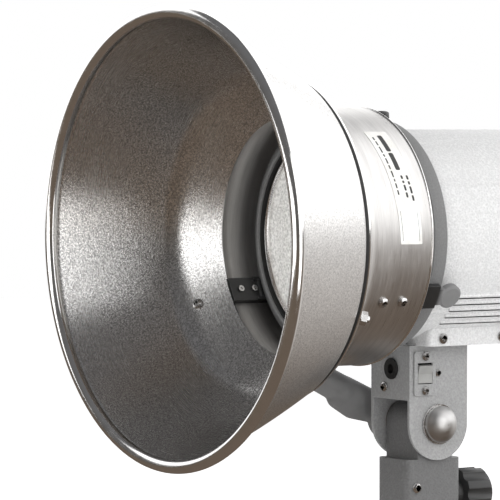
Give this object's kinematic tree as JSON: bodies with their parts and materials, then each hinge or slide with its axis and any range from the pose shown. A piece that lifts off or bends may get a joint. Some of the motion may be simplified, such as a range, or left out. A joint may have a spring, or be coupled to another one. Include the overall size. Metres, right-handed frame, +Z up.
{
  "type": "studio flash head with reflector",
  "caption": "Studio flash head with a spun metal reflector on a clip-on drum, pebbled front glass, tilting yoke, lock handle and stand adapter.",
  "frame": {"origin": "centre of the stand socket's mouth, on the underside of the stand adapter", "axes": "+Z up along the stand; the reflector looks along -Y; +X is the switch side"},
  "size_m": [0.254, 0.3191, 0.296],
  "materials": {
    "spun_aluminium": "satin",
    "brushed_drum": "brushed",
    "bright_metal": "polished",
    "steel_hardware": "satin",
    "black_anodised": "satin",
    "dark_ring": "satin",
    "crinkle_grey": "textured",
    "yoke_grey": "textured",
    "adapter_grey": "textured",
    "pebbled_glass": "textured",
    "clear_glass": "polished",
    "ceramic": "satin",
    "black_rubber": "matte",
    "black_plastic": "matte",
    "grip_plastic": "textured",
    "pale_plastic": "satin",
    "red_plastic": "glossy",
    "label_film": "satin",
    "circuit_green": "satin",
    "capacitor_sleeve": "glossy",
    "copper_winding": "satin",
    "friction_fibre": "matte",
    "brass_parts": "satin"
  },
  "bodies": {
    "stand_adapter": {"stand_adapter": "adapter_grey", "stand_bushing": "brass_parts", "stop_screw": "bright_metal"},
    "clamp_feed": {"clamp_pad": "brass_parts"},
    "clamp_knob": {"clamp_screw": "steel_hardware", "clamp_knob": "black_plastic"},
    "reflector": {"reflector_dish": "spun_aluminium", "rim_wire": "steel_hardware", "dish_gasket": "black_rubber", "adapter_drum": "brushed_drum", "dish_screws": "steel_hardware", "dish_washers": "steel_hardware", "dish_nuts": "steel_hardware", "clamp_blocks": "black_anodised", "block_screws": "steel_hardware", "finger_roots": "black_anodised", "finger_screws": "steel_hardware", "data_label": "label_film"},
    "latch_right": {"latch_finger_right": "black_anodised"},
    "latch_left": {"latch_finger_left": "black_anodised"},
    "latch_top": {"latch_finger_top": "black_anodised"},
    "lock_handle": {"lock_handle": "grip_plastic", "lock_insert": "brass_parts"},
    "switch_rocker": {"switch_rocker": "pale_plastic"},
    "fan_rotor": {"fan_rotor": "black_plastic"},
    "test_button": {"test_button": "red_plastic"},
    "lamp_head": {"bulkhead": "spun_aluminium", "chassis_plate": "spun_aluminium", "glass_retainer": "bright_metal", "lamp_bowl": "bright_metal", "cover_screws": "steel_hardware", "saddle_screws": "steel_hardware", "web_screw": "steel_hardware", "switch_screws": "steel_hardware", "tilt_bolt": "steel_hardware", "tilt_washers": "steel_hardware", "dome_nut": "steel_hardware", "front_ring": "dark_ring", "body_shell": "crinkle_grey", "body_saddle": "crinkle_grey", "yoke_bracket": "yoke_grey", "switch_bezel": "yoke_grey", "front_glass": "pebbled_glass", "flash_tube": "clear_glass", "modelling_lamp": "clear_glass", "tube_holder": "ceramic", "lamp_socket": "ceramic", "glass_gasket": "black_rubber", "web_grommet": "black_rubber", "power_cable": "black_rubber", "fan_frame": "black_plastic", "rear_cover": "black_plastic", "cable_gland": "black_plastic", "switch_case": "black_plastic", "ready_lamp": "red_plastic", "trigger_board": "circuit_green", "storage_capacitor": "capacitor_sleeve", "trigger_coil": "copper_winding", "friction_discs": "friction_fibre", "board_standoffs": "brass_parts"}
  },
  "joints": [
    {"name": "head_tilt", "type": "hinge", "parent": "stand_adapter", "child": "lamp_head", "pos_m": [0, 0, 0.062], "axis": [1, 0, 0], "range_deg": [-75, 70]},
    {"name": "reflector_slide", "type": "slide", "parent": "lamp_head", "child": "reflector", "axis": [0, -1, 0], "range_m": [0, 0.06]},
    {"name": "latch_right_swing", "type": "hinge", "parent": "reflector", "child": "latch_right", "pos_m": [0.05845, -0.0704, 0.13792], "axis": [-0.4695, 0, -0.8829], "range_deg": [0, 4], "stiffness_Nm_per_rad": 0.2},
    {"name": "latch_left_swing", "type": "hinge", "parent": "reflector", "child": "latch_left", "pos_m": [-0.05845, -0.0704, 0.13792], "axis": [-0.4695, 0, 0.8829], "range_deg": [0, 4], "stiffness_Nm_per_rad": 0.2},
    {"name": "latch_top_swing", "type": "hinge", "parent": "reflector", "child": "latch_top", "pos_m": [-0.00692, -0.0704, 0.23484], "axis": [0.9945, 0, 0.1045], "range_deg": [0, 4], "stiffness_Nm_per_rad": 0.2},
    {"name": "handle_lock", "type": "hinge", "parent": "lamp_head", "child": "lock_handle", "pos_m": [-0.027, 0, 0.062], "axis": [1, 0, 0], "range_deg": [0, 60]},
    {"name": "switch_tip", "type": "hinge", "parent": "lamp_head", "child": "switch_rocker", "pos_m": [0.0168, -0.0104, 0.0911], "axis": [0, -1, 0], "range_deg": [0, 16]},
    {"name": "fan_spin", "type": "hinge", "parent": "lamp_head", "child": "fan_rotor", "pos_m": [0, 0.06, 0.169], "axis": [0, 1, 0], "continuous": true},
    {"name": "test_press", "type": "slide", "parent": "lamp_head", "child": "test_button", "axis": [0, -1, 0], "range_m": [0, 0.003], "stiffness_N_per_m": 150},
    {"name": "clamp_feed", "type": "slide", "parent": "stand_adapter", "child": "clamp_feed", "axis": [0, -1, 0], "range_m": [0, 0.0024]},
    {"name": "clamp_turn", "type": "hinge", "parent": "clamp_feed", "child": "clamp_knob", "pos_m": [0, 0.03, 0.02], "axis": [0, 1, 0], "range_deg": [-691.2, 0]}
  ],
  "couplings": [
    {"joint": "clamp_turn", "follows": "clamp_feed", "rad_per_m": -5026.5}
  ]
}
